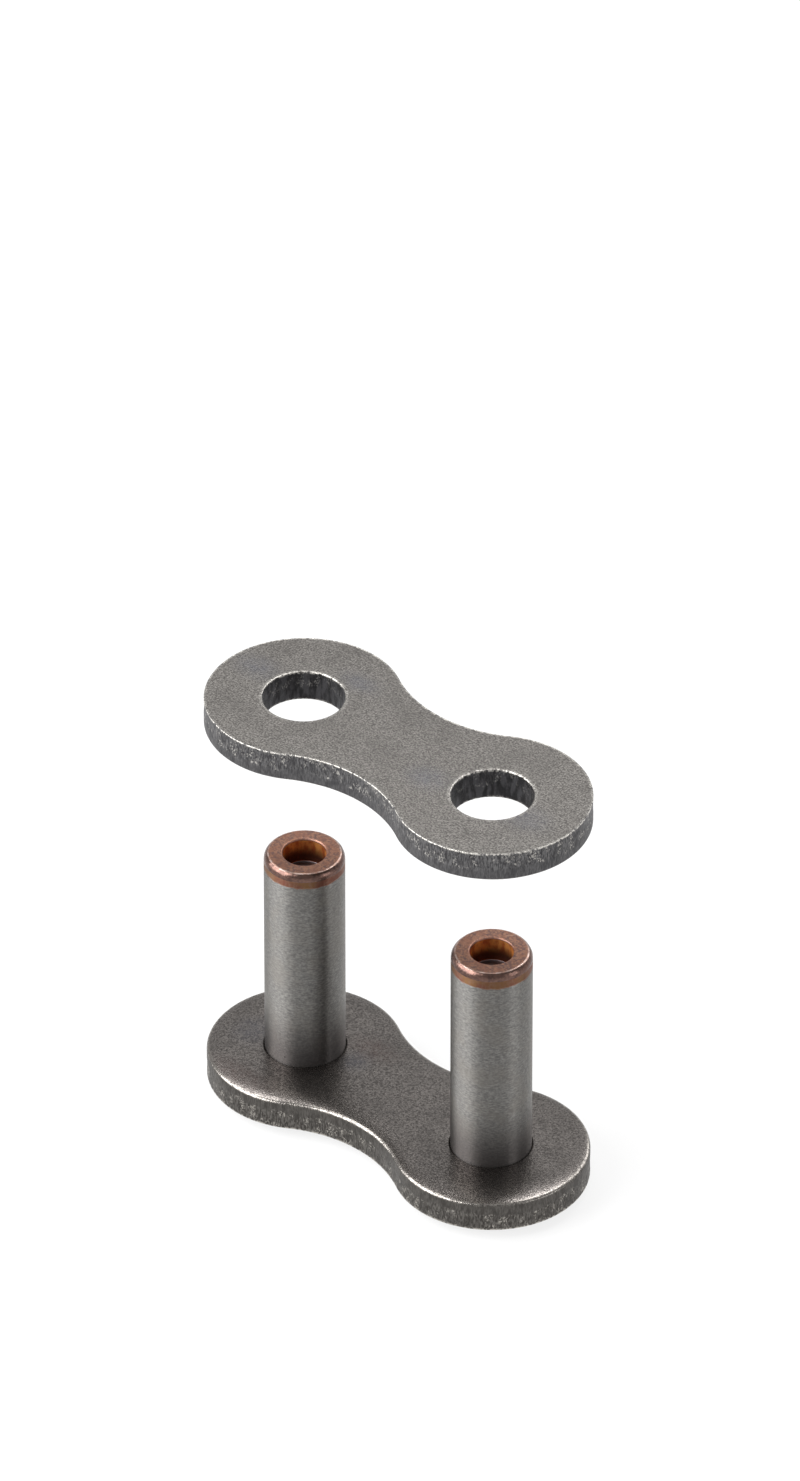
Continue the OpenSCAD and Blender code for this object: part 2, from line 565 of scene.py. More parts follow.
# %% Building a plate
seat_spread = 0.06  # how much wider a base plate's hole is at the foot of its pin
cover_hole_r = 2.64  # the cover plate's holes, which clear the pins


def plate_patches(hole_r, spread, rough):
    """All grids of a plate, lying on its sharp face at height 0."""
    plate = Patches()
    for mirror in (1.0, -1.0):
        rim = edge_grid(plate, mirror)
        border, spoke = spoke_ring(rim)
        face_grid(plate, mirror, border, spoke, hole_r + hole_roll, plate_t, hole_roll, hole_roll)
        sharp_lip = spread + WORN_LIP
        face_grid(plate, mirror, border, spoke, hole_r + sharp_lip, 0.0, WORN_LIP, hole_roll)
        hole_grid(plate, mirror, spoke, hole_r, spread, rough)
    return plate


def place_plate(plate, z_sharp, up):
    """Moves a plate to the height of its sharp face. up is 1 where it lies with its rolled face
    up, or -1 where it is turned over."""
    for points in plate.points:
        points[:, 2] = z_sharp + up * points[:, 2]
    return plate


base_patches = place_plate(plate_patches(pin_r, seat_spread, 0.0), base_low[2], 1)
cover_patches = place_plate(plate_patches(cover_hole_r, 0.0, 1.0), cover_high[2], -1)
base_mesh = base_patches.mesh("base_plate_steel")
cover_mesh = cover_patches.mesh("cover_plate_steel")

# %% [markdown]
# ## The pins
#
# A pin is turned and ground, so it is a profile that revolves about its own axis. From the
# bottom, the profile has the riveted head with its punch mark, the seat in the base plate, the
# long ground shank, and the tip with its rounded rim and blind hole. A shallow groove marks
# where the copper plating ends, and the drill has left rings on the floor of the blind hole.
# A Screw modifier could turn the profile too, but numpy turns it into the same kind of grid as
# the plates, whose points can also carry nicks and the values that the plating needs.

# %% The profile of the riveted head
head_round = 0.45  # radius of the head's rim
dimple_r = 1.1  # the punch mark
dimple_depth = 0.3


def arc(hub_r, hub_z, radius, start, stop, steps, tall=1.0):
    """Points of a round corner: its hub plus its radius, turned from one angle to another. tall
    stretches the corner upright into part of an ellipse."""
    turn = np.radians(np.linspace(start, stop, steps))
    return np.stack([hub_r + radius * np.cos(turn), hub_z + radius * tall * np.sin(turn)], -1)


def head_profile():
    """The riveted end: a punch mark that is a cap of a ball, a flat face and a round rim."""
    ball_r = (dimple_r**2 + dimple_depth**2) / (2 * dimple_depth)
    out = np.linspace(0, dimple_r, 9)
    cap = np.stack([out, dimple_depth - ball_r + np.sqrt(ball_r**2 - out**2)], -1)
    rim = arc(head_r - head_round, head_round, head_round, -90, 0, 9)
    return np.concatenate([cap, rim, [[head_r, head_h], [pin_r + seat_spread, head_h]]])


print(f"the riveted head is {2 * head_r:.2f} mm wide and {head_h:.2f} mm high")

# %% The profile of the shank
BORDER_REACH = 0.12  # rows lie close together this far from the plating's border
GROOVE = 0.012  # depth of the groove at the border
GROOVE_HALF = 0.035
tip_round = 0.5  # height of the tip's rounded rim, below which the shank ends
seat_z = head_h + plate_t - hole_roll


def shank_profile(copper_z):
    """The seat's taper, the ground shank, and the groove at the edge of the copper plating."""
    low = np.linspace([pin_r, seat_z], [pin_r, copper_z - BORDER_REACH], 26)
    across = np.linspace(-BORDER_REACH, BORDER_REACH, 13)[1:]
    dip = GROOVE * np.exp(-((across / GROOVE_HALF) ** 2))
    wall = np.linspace([pin_r, copper_z + 1.3 * BORDER_REACH], [pin_r, tip_z - tip_round - 0.04], 8)
    return np.concatenate([low, np.stack([pin_r - dip, copper_z + across], -1), wall])


print(f"the shank runs from {seat_z:.2f} to {tip_z - tip_round:.2f} mm")

# %% The profile of the tip
tip_round_in = 0.36  # width of the rounded rim
recess_r = 1.4  # the blind hole
recess_depth = 1.75
recess_round = 0.12  # radius of the blind hole's mouth
FLOOR_ROUND = 0.1  # radius of the corner between its wall and its floor
RING_GAP = 0.24  # from one drill ring to the next
RING_DEPTH = 0.012
floor_z = tip_z - recess_depth


def rim_profile():
    """The rounded rim of the tip, which is higher than it is wide, and the flat ring on top."""
    tall = tip_round / tip_round_in
    rim = arc(pin_r - tip_round_in, tip_z - tip_round, tip_round_in, 0, 90, 20, tall)
    ring = np.linspace([pin_r - tip_round_in, tip_z], [recess_r + recess_round, tip_z], 10)[1:]
    return np.concatenate([rim, ring])


def blind_profile():
    """The mouth of the blind hole, its wall, a round corner and the floor. The floor has rings:
    waves of a fixed spacing, counted from the corner."""
    mouth = arc(recess_r + recess_round, tip_z - recess_round, recess_round, 90, 180, 9)[1:]
    bore = np.linspace([recess_r, tip_z - recess_round], [recess_r, floor_z + FLOOR_ROUND], 14)[1:]
    corner = arc(recess_r - FLOOR_ROUND, floor_z + FLOOR_ROUND, FLOOR_ROUND, 0, -90, 7)[1:]
    out = np.linspace(recess_r - FLOOR_ROUND, 0, 38)[1:]
    waves = RING_DEPTH * (1 - np.cos(2 * np.pi * (recess_r - FLOOR_ROUND - out) / RING_GAP)) / 2
    return np.concatenate([mouth, bore, corner, np.stack([out, floor_z - waves], -1)])


print(f"the blind hole's floor is at {floor_z:.2f} mm")

# %% The whole profile
COPPER_BANDS = {"left": 1.05, "right": 1.11}  # how far the plating reaches down from the top


def pin_profile(copper_z):
    """The whole profile, and the number of the row where the rim starts."""
    stretches = [head_profile(), shank_profile(copper_z), rim_profile(), blind_profile()]
    return np.concatenate(stretches), len(stretches[0]) + len(stretches[1])


profile, rim_row = pin_profile(tip_z - COPPER_BANDS["left"])
print(f"a pin's profile has {len(profile)} points, and its rim starts with number {rim_row}")

# %% Revolving a profile
PIN_COLUMNS = 200
RIM_NICKS = 0.009  # mean depth of the nicks
NICK_REACH = 0.25  # how far they spread from the crest of the rim


def revolve(profile, axis_x):
    """Turns a profile about an upright axis: a point lies out from the axis by the profile's
    radius, at each column's angle. Nicks lower the rim of the tip by smooth random depths."""
    turn = np.linspace(0, 2 * np.pi, PIN_COLUMNS + 1)
    turn[-1] = 0
    out, height = profile.T
    ring = np.stack([np.cos(turn), np.sin(turn)], -1)
    points = lay(ring[:, None] * out[:, None] + [axis_x, 0], height)
    crest = np.hypot(out - pin_r + 0.3 * tip_round_in, height - tip_z + 0.3 * tip_round)
    bumps = 0.7 * lattice_noise(points, 0.45, 21) + 0.3 * lattice_noise(points, 0.18, 22)
    nicks = RIM_NICKS * np.exp(-((crest / NICK_REACH) ** 2)) * (1 + bumps)
    points[..., :2] -= ring[:, None] * nicks[..., None]
    points[..., 2] -= nicks
    return points


print(f"a pin has {PIN_COLUMNS} columns, and the nicks in its rim are about {RIM_NICKS} mm deep")

# %% Both pins
def pin_values(profile, copper_z):
    """What the materials need to know, for each point of the profile: u is the length along the
    profile, plated the height above the copper's border in millimetres, rim how far the rounded
    rim has turned, from 0 on top to 1 at the wall, and depth how far down the blind hole, from 0
    at its mouth to 1 at its floor."""
    along = np.concatenate([[0], np.cumsum(np.hypot(*np.diff(profile, axis=0).T))])
    out, height = profile.T
    sideways, upward = (out - pin_r) / tip_round_in + 1, (height - tip_z) / tip_round + 1
    rim = np.where(sideways > 0, np.clip(np.arctan2(sideways, upward) / (math.pi / 2), 0, 1), 0)
    inside = (out < recess_r + recess_round) & (height > floor_z - RING_DEPTH - 0.01)
    depth = np.where(inside, np.clip((tip_z - height) / recess_depth, 0, 1), 0)
    return {"u": along / along[-1], "plated": height - copper_z, "rim": rim, "depth": depth}


def pin_mesh(name, axis_x, band):
    """A whole pin, with a map that runs up the pin in u and round it in v. Its rim, top and blind
    hole take a second material."""
    pin, copper_z = Patches(), tip_z - band
    profile, rim_row = pin_profile(copper_z)
    around = np.linspace(0, 1, PIN_COLUMNS + 1)[:, None]
    tip = np.arange(len(profile) - 1) >= rim_row - 1
    pin.add(revolve(profile, axis_x), coat=tip, v=around, **pin_values(profile, copper_z))
    return pin.mesh(name)


left_mesh = pin_mesh("left_pin_steel", -half_pitch, COPPER_BANDS["left"])
right_mesh = pin_mesh("right_pin_steel", half_pitch, COPPER_BANDS["right"])

# %% [markdown]
# ## Writing a material down
#
# A procedural material is a recipe: patterns that are worked out from a point's place, mixed
# into a colour, a roughness and a relief. Pictures of steel could be laid on instead, but they
# blur close up and show seams, and these patterns do neither. `Recipe` keeps the wiring short, so
# that each finish below reads like a list of what is seen on the steel. Sizes are millimetres
# here too.

# %% A short hand for nodes
class Recipe:
    """One material and the nodes that it is made of."""

    def __init__(self, name):
        self.material = bpy.data.materials.new(name)
        self.material.use_nodes = True
        self.tree = self.material.node_tree
        self.shader = self.tree.nodes["Principled BSDF"]
        self.place = self.node("ShaderNodeTexCoord").outputs["Object"]

    def node(self, kind, inputs=(), **settings):
        """A new node with its settings, whose inputs are set or linked in pairs."""
        made = self.tree.nodes.new(kind)
        for key, value in settings.items():
            setattr(made, key, value)
        for key, value in dict(inputs).items():
            self.feed(made.inputs[key], value)
        return made

    def feed(self, socket, value):
        """Links a socket to another, or sets its value."""
        if isinstance(value, bpy.types.NodeSocket):
            self.tree.links.new(value, socket)
        else:
            socket.default_value = value

    def noise(self, size, detail=2.0, squash=(1, 1, 1), shift=0.0):
        """Cloudy noise with lumps of about a size in millimetres. squash below 1 draws the lumps
        out along an axis, and shift gives another pattern of the same kind."""
        scale = [s / (size * MM) for s in squash]
        stretch = {"Vector": self.place, "Scale": scale, "Location": [shift] * 3}
        spread = self.node("ShaderNodeMapping", stretch).outputs[0]
        lumps = {"Vector": spread, "Scale": 1.0, "Detail": detail}
        return self.node("ShaderNodeTexNoise", lumps).outputs[0]

    def sums(self, kind, first, second=0.0):
        """One step of arithmetic."""
        return self.node("ShaderNodeMath", {0: first, 1: second}, operation=kind).outputs[0]

    def times(self, first, second):
        """Two numbers multiplied."""
        return self.sums("MULTIPLY", first, second)

    def ramp(self, value, low, high, to_low=0.0, to_high=1.0):
        """An eased climb from to_low to to_high while value goes from low to high."""
        climb = {"Value": value, "From Min": low, "From Max": high, "To Min": to_low, "To Max": to_high}
        return self.node("ShaderNodeMapRange", climb, interpolation_type="SMOOTHSTEP").outputs[0]

    def blend(self, share, first, second):
        """Two colours mixed by a share, 0 for the first and 1 for the second."""
        made = self.node("ShaderNodeMix", data_type="RGBA")
        self.feed(made.inputs[0], share)
        for socket, colour in ((made.inputs[6], first), (made.inputs[7], second)):
            self.feed(socket, colour if isinstance(colour, bpy.types.NodeSocket) else (*colour, 1))
        return made.outputs[2]

    def value(self, name):
        """A number that the mesh stores with each point."""
        return self.node("ShaderNodeAttribute", attribute_name=name).outputs["Fac"]

    def height(self):
        """How high a point lies, in metres."""
        return self.node("ShaderNodeSeparateXYZ", {0: self.place}).outputs[2]

    def spot(self, middle, half_sizes, turn=0.0, soft=0.4):
        """1 within an ellipsoid at a place, in millimetres, turned about the vertical by an angle
        in degrees, and 0 outside it. A texture mapping brings a point into the ellipsoid's own
        axes, where the ellipsoid is a ball of radius one."""
        ball = {"Vector": self.place, "Rotation": (0, 0, math.radians(turn))}
        ball["Location"] = [m * MM for m in middle]
        ball["Scale"] = [h * MM for h in half_sizes]
        own = self.node("ShaderNodeMapping", ball, vector_type="TEXTURE").outputs[0]
        reach = self.node("ShaderNodeVectorMath", {0: own}, operation="LENGTH").outputs["Value"]
        return self.ramp(reach, 1 - soft, 1 + soft, 1.0, 0.0)

    def relief(self, height, depth, below=None):
        """Bump: height times depth, in millimetres, on top of any relief below it."""
        made = self.node("ShaderNodeBump", {"Height": height, "Distance": depth * MM, "Strength": 1.0})
        if below is not None:
            self.feed(made.inputs["Normal"], below)
        return made.outputs[0]

    def finish(self, colour, roughness, normal, **constants):
        """Feeds the shader. All finishes here are bare metal."""
        for key, value in (("Base Color", colour), ("Roughness", roughness), ("Normal", normal)):
            self.feed(self.shader.inputs[key], value)
        self.shader.inputs["Metallic"].default_value = 1.0
        for key, number in constants.items():
            self.shader.inputs[key.title()].default_value = number
        print(f"{self.material.name}: {len(self.tree.nodes)} nodes")
        return self.material

# %% [markdown]
# ## Tumbled steel
#
# After blanking, the plates are hardened and tumbled with abrasive stones. That leaves a matte
# skin with a fine grain, faint blue and brown temper stains, brighter worn edges, and darker
# walls whose torn zone sparkles. The walls of the cover plate's holes get a painted shade and
# a painted dark reflection, nearly black.
# Faces and walls could be two materials, but they fade into each other at the rolled edge, so one
# material mixes both by the values that the mesh stores. One recipe makes both plates. The base
# plate is glossier, darker and browner, as if it had kept its oil, and its grain is shallower.

# %% The faces of a plate
def tumbled_face(steel, tones, stains):
    """Light and dark grains, slower clouds, and stains: each stain is a colour, and the patches
    that it tints."""
    grain = steel.noise(0.115, 3.0)
    coarse = steel.noise(0.32, 3.0, shift=3.0)
    face = steel.blend(steel.ramp(grain, 0.32, 0.68), *tones)
    face = steel.blend(steel.ramp(coarse, 0.5, 0.72, 0, 0.4), face, tones[0])
    face = steel.blend(steel.ramp(steel.noise(2.4, 3.0, shift=5.0), 0.45, 0.7, 0, 0.25), face, tones[0])
    for colour, places in stains:
        patch = steel.ramp(steel.noise(0.5, 3.0, shift=8.0), 0.3, 0.7, 0.5, 1.1)
        for middle, size in places:
            tint = steel.times(steel.spot(middle, size, soft=0.9), patch)
            face = steel.blend(steel.times(tint, STAIN_SHARE), face, colour)
    return face, grain

# %% The walls of a plate
def blanked_wall(steel, tones, spark_colour):
    """Upright streaks between two tones, in two widths, which are livelier where the steel is
    torn. Torn steel adds bright flakes, which lie in clusters. Hole walls get a painted shade
    and a painted dark reflection, nearly black."""
    torn, bore = steel.value("torn"), steel.value("bore")
    streak = steel.noise(0.085, 3.0, squash=(1, 1, 0.25), shift=5.0)
    smear = steel.noise(0.32, 3.0, squash=(1, 1, 0.3), shift=6.0)
    cluster = steel.noise(0.55, 2.0, squash=(1, 1, 0.7), shift=15.0)
    speck = steel.noise(0.09, 2.0, squash=(1, 1, 0.6), shift=9.0)
    calm, lively = steel.ramp(torn, 0, 1, 0.25, 0.0), steel.ramp(torn, 0, 1, 0.7, 1.0)
    side = steel.blend(steel.ramp(streak, 0.34, 0.66, calm, lively), *tones)
    side = steel.blend(steel.ramp(smear, 0.46, 0.64, 0, 0.6), side, tones[0])
    # Painted shade and dark reflection: hole walls are mixed towards a dark steel, nearly black.
    dark, pale = [[share * tone for tone in tones[0]] for share in (0.35, 1.2)]
    bare = steel.blend(steel.ramp(smear, 0.4, 0.62), dark, pale)
    side = steel.blend(steel.times(bore, 0.9), side, bare)
    crowd = steel.ramp(cluster, 0.48, 0.64, 0.06, 0.85)
    flakes = steel.times(steel.ramp(speck, 0.5, 0.62), crowd)
    sparks = steel.times(flakes, steel.ramp(torn, 0, 1, 0.06, 1.0))
    sparks = steel.times(sparks, steel.ramp(bore, 0, 1, 1.0, 0.3))
    return steel.blend(sparks, side, spark_colour), streak

# %% The recipe for a plate
WALL_ROUGH = 0.52
RUBBED_SMOOTH = 0.16  # how much less rough a worn edge is
STREAK_RELIEF = 0.03  # depth of the wall's streaks


def plate_steel(name, face_tones, wall_tones, worn, gloss, bumps, stains):
    """The face and the wall, joined by the wall value, with the worn edges rubbed bright. gloss
    is the roughness of dark and of light grains, and bumps how deep the grain is in millimetres."""
    steel = Recipe(name)
    wall, wear = steel.value("wall"), steel.value("wear")
    face, grain = tumbled_face(steel, face_tones, stains)
    side, streak = blanked_wall(steel, wall_tones, worn)
    broken = steel.ramp(steel.noise(0.2, 3.0, shift=2.0), 0.36, 0.6, 0.1, 1.3)
    rub = steel.ramp(steel.times(wear, broken), 0.1, 0.8)
    skin = steel.blend(rub, steel.blend(wall, face, side), worn)
    rough = steel.ramp(wall, 0.8, 1, steel.ramp(grain, 0.3, 0.7, *gloss), WALL_ROUGH)
    rough = steel.sums("SUBTRACT", rough, steel.times(rub, RUBBED_SMOOTH))
    normal = steel.relief(grain, bumps)
    normal = steel.relief(steel.times(streak, wall), STREAK_RELIEF, normal)
    return steel.finish(skin, rough, normal)

# %% The steel of both plates
BLUE_GREY = (0.135, 0.145, 0.185)
RUST_BROWN = (0.15, 0.095, 0.085)
STAIN_SHARE = 0.32  # how strongly a stain tints the steel
cover_top, base_top = cover_high[2], base_high[2]
cover_blues = [
    ((-12.2, 0.4, cover_top), (1.3, 0.9, 0.3)),
    ((3.7, -1.4, cover_top), (1.2, 0.9, 0.3)),
    ((10.9, -0.5, cover_top), (1.5, 1.0, 0.3)),
    ((-6.2, 3.4, cover_top), (1.2, 0.7, 0.3)),
]
base_blues = [
    ((-11.2, -1.2, base_top), (1.1, 1.2, 0.3)),
    ((-4.2, 0.6, base_top), (0.8, 0.9, 0.3)),
]
base_browns = [
    ((-8.8, -5.2, base_top), (2.2, 0.8, 0.4)),
    ((-4.2, 2.3, base_top), (1.5, 0.9, 0.3)),
]
cover_steel = plate_steel(
    "tumbled_steel",
    face_tones=[(0.111, 0.104, 0.098), (0.314, 0.298, 0.279)],
    wall_tones=[(0.05, 0.049, 0.052), (0.155, 0.152, 0.154)],
    worn=(0.48, 0.46, 0.43),
    gloss=(0.46, 0.38),
    bumps=0.026,
    stains=[(BLUE_GREY, cover_blues)],
)
base_steel = plate_steel(
    "oiled_steel",
    face_tones=[(0.106, 0.097, 0.092), (0.36, 0.33, 0.311)],
    wall_tones=[(0.05, 0.046, 0.042), (0.145, 0.136, 0.126)],
    worn=(0.42, 0.395, 0.36),
    gloss=(0.31, 0.23),
    bumps=0.011,
    stains=[(BLUE_GREY, base_blues), (RUST_BROWN, base_browns)],
)

# %% [markdown]
# ## Ground steel and copper plating
#
# A pin's shank is ground round and round, so its finest scratches run round the pin and smear
# every reflection up and down it. Scratches drawn as relief would be finer than a pixel, and
# would sparkle. Blender's shader smears reflections by itself with its anisotropic setting, once
# it knows which way is up along the pin, from the u of the pin's own map. The tip has a thin
# coat of copper: warm and streaky on the wall, duller on the flat ring, worn through to pale
# metal on the crest of the rounded rim, and glowing orange in the blind hole, where light bounces
# on copper. Painted shade darkens the rim below its crest and the blind hole towards its floor,
# and the steel at a pin's foot has a painted reflection of the base plate and painted shade.

# %% Colours of the plating
def copper_colours(pin):
    """Mottled copper: grains between a grey purple and an orange tone."""
    fleck = pin.noise(0.15, 3.0, shift=4.0)
    patch = pin.noise(0.5, 3.0, shift=1.0)
    mottled = pin.blend(pin.ramp(fleck, 0.36, 0.64), (0.23, 0.145, 0.13), (0.5, 0.27, 0.185))
    return pin.blend(pin.ramp(patch, 0.4, 0.65, 0, 0.6), mottled, (0.4, 0.19, 0.13)), fleck


def copper_wall(pin):
    """On the wall the copper is darker, with slow drifts from golden brown to wine red."""
    drift = pin.noise(1.5, 2.0, squash=(1, 1, 0.7), shift=10.0)
    fleck = pin.noise(0.2, 3.0, squash=(1, 1, 0.5), shift=14.0)
    wall = pin.blend(pin.ramp(drift, 0.4, 0.6), (0.174, 0.092, 0.044), (0.145, 0.06, 0.042))
    return pin.blend(pin.ramp(fleck, 0.4, 0.75, 0, 0.7), wall, (0.185, 0.108, 0.078))

# %% The hammered head
HEAD_BLEND = (0.9, 1.2)  # heights between which the head's finish fades out


def riveted_head(pin, steel):
    """Below the base plate the pin's end is hammered into a head: coarse light and dark dabs."""
    dabs = pin.noise(0.3, 3.0, shift=12.0)
    hammered = pin.blend(pin.ramp(dabs, 0.36, 0.62), (0.165, 0.153, 0.143), (0.34, 0.322, 0.302))
    low, high = [h * MM for h in HEAD_BLEND]
    return pin.blend(pin.ramp(pin.height(), low, high, 1.0, 0.0), steel, hammered)

# %% The recipe for the shank
# The dark foot is a painted reflection of the base plate and painted shade.
FOOT_SHADE_LOW, FOOT_SHADE_HIGH = 3.3, 7.7  # heights between which the dark foot fades out
BORDER_WANDER = 0.035
PALE_LINE_UP = 0.035  # how far the pale line lies above the plating's border
PALE_LINE_HALF = 0.02
PIT = (-7.425, -2.559, 3.49)
PIT_SIZE = (0.05, 0.05, 0.05)


def shank_steel():
    """Steel below a height and copper above it, with a border that wanders a little. A pale line
    follows the border, where the plating ends. Towards its foot the steel gets a painted
    reflection of the dark base plate and painted shade, and it has one small pit there."""
    pin = Recipe("ground_steel")
    lines = pin.noise(0.09, 3.0, squash=(0.35, 0.35, 1))
    fleck = pin.noise(0.14, 3.0, shift=4.0)
    cloud = pin.noise(1.6, 2.0, shift=7.0)
    steel = pin.blend(pin.ramp(lines, 0.3, 0.7), (0.143, 0.139, 0.134), (0.245, 0.239, 0.227))
    steel = pin.blend(pin.ramp(fleck, 0.4, 0.75, 0, 0.5), steel, (0.115, 0.112, 0.11))
    steel = pin.blend(pin.ramp(cloud, 0.4, 0.7, 0, 0.35), steel, (0.19, 0.175, 0.155))
    # Painted reflection and shade: the steel darkens towards its foot, next to the base plate.
    foot = pin.ramp(pin.height(), FOOT_SHADE_LOW * MM, FOOT_SHADE_HIGH * MM, 0.75, 0.0)
    steel = riveted_head(pin, pin.blend(foot, steel, (0.055, 0.048, 0.048)))
    wander = pin.ramp(pin.noise(0.7, 3.0, shift=6.0), 0.3, 0.7, -BORDER_WANDER, BORDER_WANDER)
    above = pin.sums("ADD", pin.value("plated"), wander)
    skin = pin.blend(pin.ramp(above, -0.015, 0.015), steel, copper_wall(pin))
    pale = pin.sums("COMPARE", above, PALE_LINE_UP)
    pale.node.inputs[2].default_value = PALE_LINE_HALF
    skin = pin.blend(pin.times(pale, 0.6), skin, (0.3, 0.2, 0.16))
    skin = pin.blend(pin.spot(PIT, PIT_SIZE), skin, (0.02, 0.02, 0.02))
    normal = pin.relief(fleck, 0.007)
    up = pin.node("ShaderNodeTangent", direction_type="UV_MAP", uv_map="UVMap").outputs[0]
    pin.feed(pin.shader.inputs["Tangent"], up)
    return pin.finish(skin, pin.ramp(fleck, 0.3, 0.7, 0.45, 0.5), normal, anisotropic=0.85)

# %% The zones of the tip
def worn_rim_and_painted_shade(pin, copper, rim, grit):
    """Below its crest the rounded rim gets a painted shade, a darker purple copper, and its crest is
    worn through in dashes. rim is 0 on top and 1 at the wall, so each ramp on it is a zone of the rim."""
    # Painted shade: below the crest the rim is mixed to a dark purple copper, with lighter patches.
    purple = pin.blend(pin.ramp(grit, 0.4, 0.62), (0.088, 0.053, 0.046), (0.148, 0.088, 0.072))
    thin = pin.ramp(pin.noise(0.8, 3.0, squash=(1, 1, 0.4), shift=16.0), 0.42, 0.58, 0.0, 0.4)
    purple = pin.blend(thin, purple, (0.175, 0.1, 0.08))
    skin = pin.blend(pin.ramp(rim, 0.16, 0.3), copper, purple)
    worn = pin.times(pin.ramp(rim, 0.04, 0.1), pin.ramp(rim, 0.2, 0.3, 1.0, 0.0))
    worn = pin.times(worn, pin.ramp(pin.noise(0.3, 3.0, shift=13.0), 0.42, 0.6, 0.3, 1.0))
    return pin.blend(worn, skin, (0.6, 0.46, 0.41))


def blind_hole(pin, skin, depth):
    """The blind hole has a dull mouth, an amber wall with a painted shade that darkens it on its
    way down, and a grey floor. depth is 0 at the mouth and 1 at the floor."""
    glow = pin.noise(0.4, 3.0, squash=(1, 1, 0.5), shift=8.0)
    amber = pin.blend(pin.ramp(glow, 0.35, 0.65), (0.56, 0.16, 0.05), (0.9, 0.41, 0.12))
    # Painted shade: the amber wall darkens towards the floor of the blind hole.
    amber = pin.blend(pin.ramp(depth, 0.25, 0.75), amber, (0.12, 0.04, 0.022))
    skin = pin.blend(pin.ramp(depth, 0.0, 0.03, 0, 0.7), skin, (0.17, 0.1, 0.08))
    skin = pin.blend(pin.ramp(depth, 0.05, 0.1), skin, amber)
    return pin.blend(pin.ramp(depth, 0.975, 0.99), skin, (0.17, 0.165, 0.18))

# %% The recipe for the tip
SCRATCH = (7.84, 2.08, tip_z)
SCRATCH_SIZE = (0.45, 0.022, 0.2)
SCRATCH_TURN = 52.3


def tip_copper():
    """The flat ring, the worn rim and the blind hole, with one scratch on the right pin's ring."""
    pin = Recipe("copper_plating")
    rim, depth = pin.value("rim"), pin.value("depth")
    copper, fleck = copper_colours(pin)
    grit = pin.noise(0.16, 3.0, shift=11.0)
    skin = blind_hole(pin, worn_rim_and_painted_shade(pin, copper, rim, grit), depth)
    scratch = pin.spot(SCRATCH, SCRATCH_SIZE, turn=SCRATCH_TURN)
    skin = pin.blend(scratch, skin, (0.6, 0.42, 0.34))
    rough = pin.ramp(rim, 0.15, 0.3, pin.ramp(grit, 0.3, 0.7, 0.4, 0.32), 0.26)
    rough = pin.ramp(depth, 0.0, 0.02, rough, 0.5)
    return pin.finish(skin, rough, pin.relief(fleck, 0.01))


ground_steel = shank_steel()
copper_plating = tip_copper()

# %% [markdown]
# ## Dressing the frame
#
# The meshes and their steel are ready, and now take the places of the frame's plain pieces. They
# could be parented and animated by hand, but the frame knows already which piece moves with
# which body. Riding on a body makes a mesh follow it, and replacing a piece hides the plain one.

# %% Putting the pieces in place
def show(name, data, body, node, slot, *materials):
    """Puts a mesh into the scene in place of one of the frame's pieces, riding on its body."""
    for material in materials:
        data.materials.append(material)
    piece = into_scene(name, data)
    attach(piece, body)
    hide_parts(node)
    return piece


show("base_plate_steel", base_mesh, "pin_side", "base_plate", "base_plate", base_steel)
show("cover_plate_steel", cover_mesh, "cover_side", "cover_plate", "cover_plate", cover_steel)
show("left_pin_steel", left_mesh, "pin_side", "left_pin", "pin", ground_steel, copper_plating)
show("right_pin_steel", right_mesh, "pin_side", "right_pin", "pin", ground_steel, copper_plating)

# %% [markdown]
# ## The floor
#
# The link stands on plain pale paper. A flat plane would show its far border in a low view, so
# the sheet curves up all round, as studio paper does. More lamps could make it white, but they
# would wash out the steel. Instead its material answers the camera, and every mirror, mostly with
# plain white, and all other light as matte paper does, which keeps the soft shadow.

# %% The floor's material
FLOOR_GLOW = 0.8  # share of plain white
PAPER = (0.85, 0.85, 0.85, 1)
WHITE = (1, 1, 1, 1)


def pale_floor():
    """Matte paper, mixed with plain white where the camera, a mirror or a clear body looks at
    it. The share of white is the largest of the three Light Path outputs, times FLOOR_GLOW."""
    paper = Recipe("pale_floor")
    path = paper.node("ShaderNodeLightPath").outputs
    seen = paper.sums("MAXIMUM", path["Is Camera Ray"], path["Is Glossy Ray"])
    seen = paper.sums("MAXIMUM", seen, path["Is Transmission Ray"])
    matte = paper.node("ShaderNodeBsdfDiffuse", {"Color": PAPER}).outputs[0]
    glow = paper.node("ShaderNodeEmission", {"Color": WHITE, "Strength": 1.0}).outputs[0]
    shares = {0: paper.times(seen, FLOOR_GLOW), 1: matte, 2: glow}
    mixed = paper.node("ShaderNodeMixShader", shares).outputs[0]
    paper.feed(paper.tree.nodes["Material Output"].inputs["Surface"], mixed)
    for spare in (paper.shader, paper.place.node):
        paper.tree.nodes.remove(spare)
    return paper.material

# %% The floor's sheet
FLAT_REACH = 0.85
BEND_RADIUS = 0.22
HAIR = 0.02 * MM
FLOOR_COLUMNS = 96


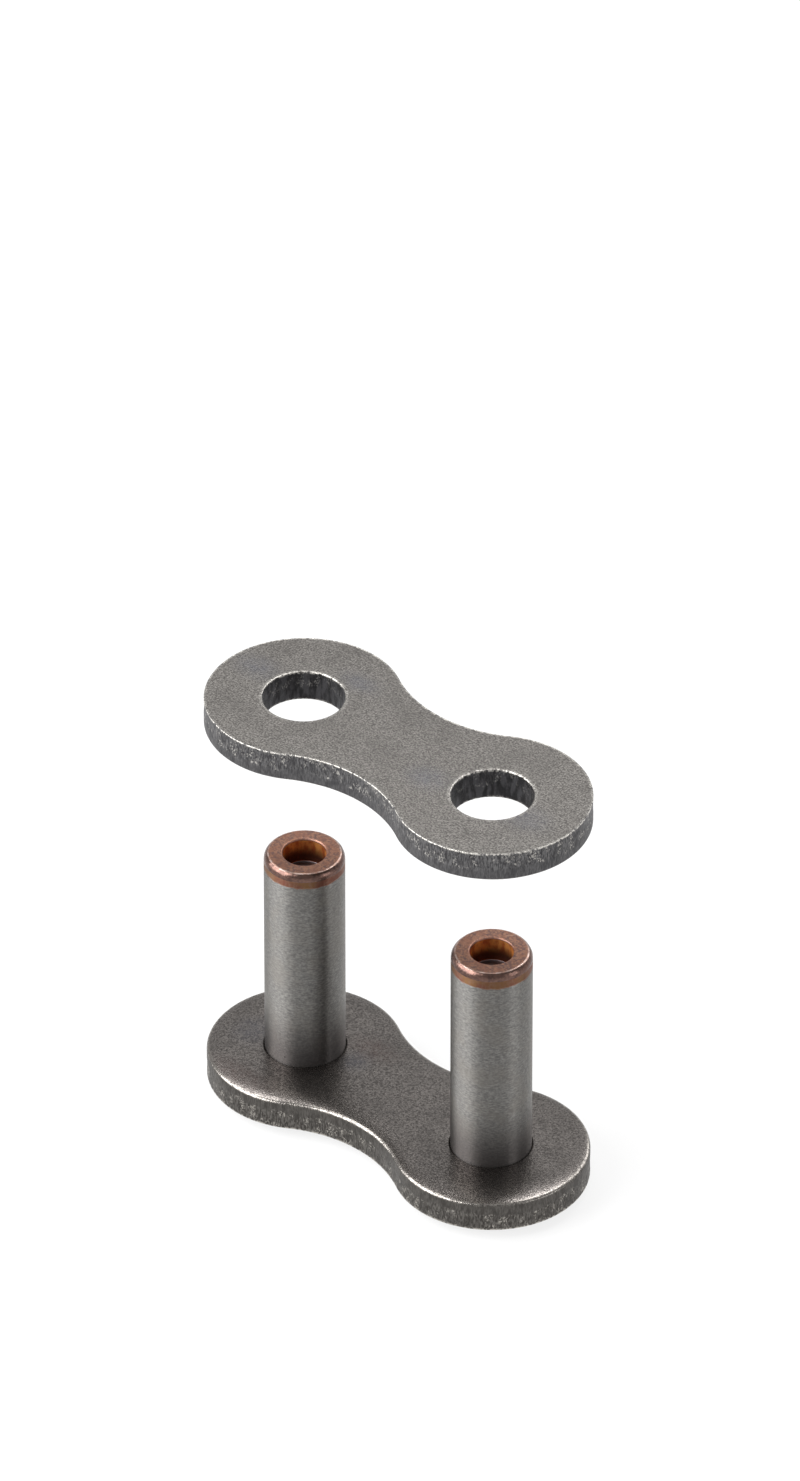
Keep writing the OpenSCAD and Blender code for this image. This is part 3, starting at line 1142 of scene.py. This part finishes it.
def backdrop_mesh():
    """A round sheet that lies flat and curves up at its border, as studio paper does: its profile
    is a straight line and then a quarter circle. It lies a hair below the link."""
    lift = np.linspace(0, math.pi / 2, 13)
    out = np.concatenate([[0, 0.3], FLAT_REACH + BEND_RADIUS * np.sin(lift)])
    height = np.concatenate([[0, 0], BEND_RADIUS * (1 - np.cos(lift))]) - HAIR
    turn = np.linspace(0, 2 * math.pi, FLOOR_COLUMNS + 1)[:, None]
    points = np.stack([out * np.cos(turn), out * np.sin(turn), height + 0 * turn], -1)
    number = np.arange((FLOOR_COLUMNS + 1) * len(out)).reshape(FLOOR_COLUMNS + 1, -1)
    quads = np.stack([number[:-1, :-1], number[:-1, 1:], number[1:, 1:], number[1:, :-1]], -1)
    data = bpy.data.meshes.new("floor")
    data.from_pydata(points.reshape(-1, 3), [], quads.reshape(-1, 4).tolist())
    data.polygons.foreach_set("use_smooth", [True] * len(data.polygons))
    data.materials.append(pale_floor())
    return data


floor = into_scene("floor", backdrop_mesh())
print(f"floor: flat to {FLAT_REACH} m, and {BEND_RADIUS} m high at its border")

# %% [markdown]
# ## The light
#
# Bare steel looks like what it mirrors, so the lamps matter more here than on any other material.
# A picture of a studio could surround the link, but separate soft lamps can be placed one by one,
# and each has its task: the left one draws the bright stripe on the pins, the top one lights the
# faces and the rolled edges, the rear one the far walls and the tips, and the right one the other
# border of the pins. An even pale world fills what is left.

# %% The pale world
SKY = 0.5
world = bpy.data.worlds.new("studio")
bpy.context.scene.world = world
world.use_nodes = True
sky = world.node_tree.nodes["Background"]
sky.inputs["Color"].default_value = WHITE
sky.inputs["Strength"].default_value = SKY
print(f"world: even white at {SKY}")

# %% The lamps
# azimuth and elevation in degrees, distance, width and height in millimetres, and brightness
LAMPS = {
    "left_softbox": (-79, 34, 300, 300, 270, 6.0),
    "top_softbox": (180, 67, 320, 360, 120, 3.2),
    "rear_softbox": (134, 30, 320, 160, 160, 1.7),
    "right_softbox": (60, 18, 320, 110, 200, 2.3),
}


def add_lamp(name, azimuth, elevation, distance, width, height, radiance):
    """A soft lamp that faces the link. Its power is four times its area times how bright its
    surface looks."""
    lamp = bpy.data.lights.new(name, "AREA")
    lamp.shape = "RECTANGLE"
    lamp.size, lamp.size_y = width * MM, height * MM
    lamp.energy = radiance * 4 * lamp.size * lamp.size_y
    holder = into_scene(name, lamp)
    middle = np.array([0, 0, (cover_high[2] + base_low[2]) / 2])
    aim_from(holder, middle + distance * direction(azimuth, elevation), middle)
    holder.visible_camera = False


for name, numbers in LAMPS.items():
    add_lamp(name, *numbers)
print("lamps", list(LAMPS))
